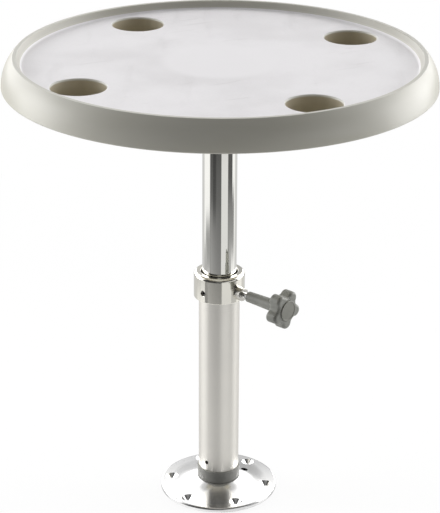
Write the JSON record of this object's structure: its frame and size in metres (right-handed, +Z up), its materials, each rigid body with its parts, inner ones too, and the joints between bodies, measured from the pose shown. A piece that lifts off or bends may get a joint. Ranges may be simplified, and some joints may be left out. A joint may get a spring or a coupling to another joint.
{
  "type": "telescoping pedestal table",
  "caption": "Round moulded table top with a raised lip and cup holders on a telescopic aluminium pedestal that slides, swivels and clamps with a star knob.",
  "frame": {"origin": "centre of the base plate's underside", "axes": "+Z up along the column; -Y is the side the clamp knob's half of the table faces"},
  "size_m": [0.61, 0.61, 0.6822],
  "materials": {
    "polished_aluminium": "polished",
    "satin_aluminium": "satin anodised",
    "steel": "zinc plated",
    "grey_foot_plastic": "moulded, matte",
    "black_nylon": "turned nylon, matte",
    "grey_knob_plastic": "moulded, satin",
    "brass": "plain",
    "plywood": "sealed plywood, painted light grey",
    "light_abs": "fine grained, semi-matte"
  },
  "bodies": {
    "base_column": {"base_plate": "polished_aluminium", "foot_washer": "steel", "foot_bolt": "steel", "foot_spigot": "satin_aluminium", "foot_ring": "grey_foot_plastic", "lower_tube": "satin_aluminium", "foot_grub_screws": "steel", "clamp_collar": "polished_aluminium", "collar_grub_screws": "steel", "tube_liner": "black_nylon", "clamp_boss": "polished_aluminium"},
    "slide_guide": {"guide_ring": "black_nylon"},
    "table_column": {"tube_end_plug": "black_nylon", "upper_tube": "polished_aluminium", "top_flange": "satin_aluminium", "flange_grub_screws": "steel", "flange_screws": "steel", "core_board": "plywood", "top_inserts": "brass", "table_top": "light_abs"},
    "clamp_shoe": {"clamp_shoe": "black_nylon"},
    "clamp_knob": {"knob_stud": "steel", "knob_grip": "grey_knob_plastic", "knob_cap": "grey_knob_plastic"}
  },
  "joints": [
    {"name": "height", "type": "slide", "parent": "base_column", "child": "slide_guide", "axis": [0, 0, 1], "range_m": [-0.16, 0.04]},
    {"name": "swivel", "type": "hinge", "parent": "slide_guide", "child": "table_column", "pos_m": [0, 0, 0.5], "axis": [0, 0, 1], "continuous": true},
    {"name": "shoe_feed", "type": "slide", "parent": "base_column", "child": "clamp_shoe", "axis": [0.7431, -0.6691, 0], "range_m": [0, 0.00375]},
    {"name": "knob_turn", "type": "hinge", "parent": "clamp_shoe", "child": "clamp_knob", "pos_m": [0.06317, -0.05688, 0.3295], "axis": [0.7431, -0.6691, 0], "range_deg": [0, 1081]}
  ],
  "couplings": [
    {"joint": "knob_turn", "follows": "shoe_feed", "rad_per_m": 5026.5}
  ]
}
